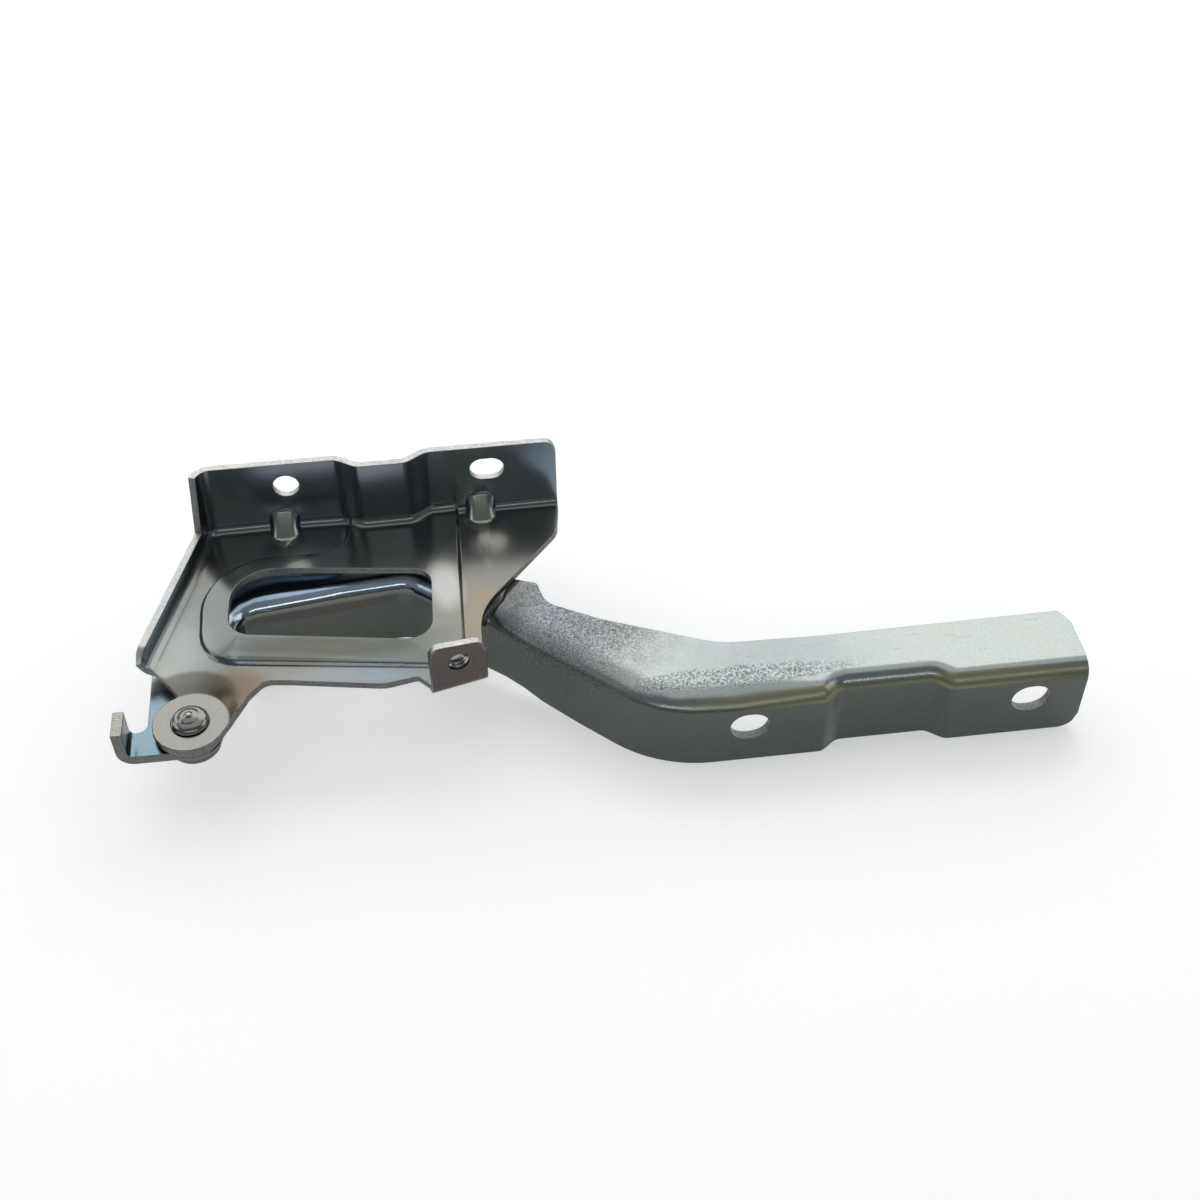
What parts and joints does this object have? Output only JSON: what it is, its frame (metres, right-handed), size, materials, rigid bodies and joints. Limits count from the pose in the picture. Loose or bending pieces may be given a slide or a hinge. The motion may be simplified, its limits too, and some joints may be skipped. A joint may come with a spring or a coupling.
{
  "type": "bonnet hinge",
  "caption": "Gooseneck bonnet hinge: stamped body bracket with window and threaded tab, riveted to a curved arm with a flange for the bonnet.",
  "frame": {"origin": "on the pivot axis, at the flat face of the rivet's lower head", "axes": "+X along the body flange towards the bonnet end of the arm, +Y towards the car body, out of the body flange's back face, +Z along the pivot axis towards the rivet's domed head"},
  "size_m": [0.3128, 0.1028, 0.0599],
  "materials": {
    "bracket_zinc": "zinc plated, satin",
    "arm_zinc": "zinc plated, satin",
    "bright_steel": "polished",
    "bronze": "satin"
  },
  "bodies": {
    "bracket": {"body_bracket": "bracket_zinc", "pivot_rivet": "bright_steel", "thrust_washer": "bronze", "backing_washer": "bright_steel"},
    "arm": {"bonnet_arm": "arm_zinc", "pivot_bush": "bronze"}
  },
  "joints": [
    {"name": "bonnet_swing", "type": "hinge", "parent": "bracket", "child": "arm", "pos_m": [0, 0, 0], "axis": [0, 0, -1], "range_deg": [0, 57]}
  ]
}
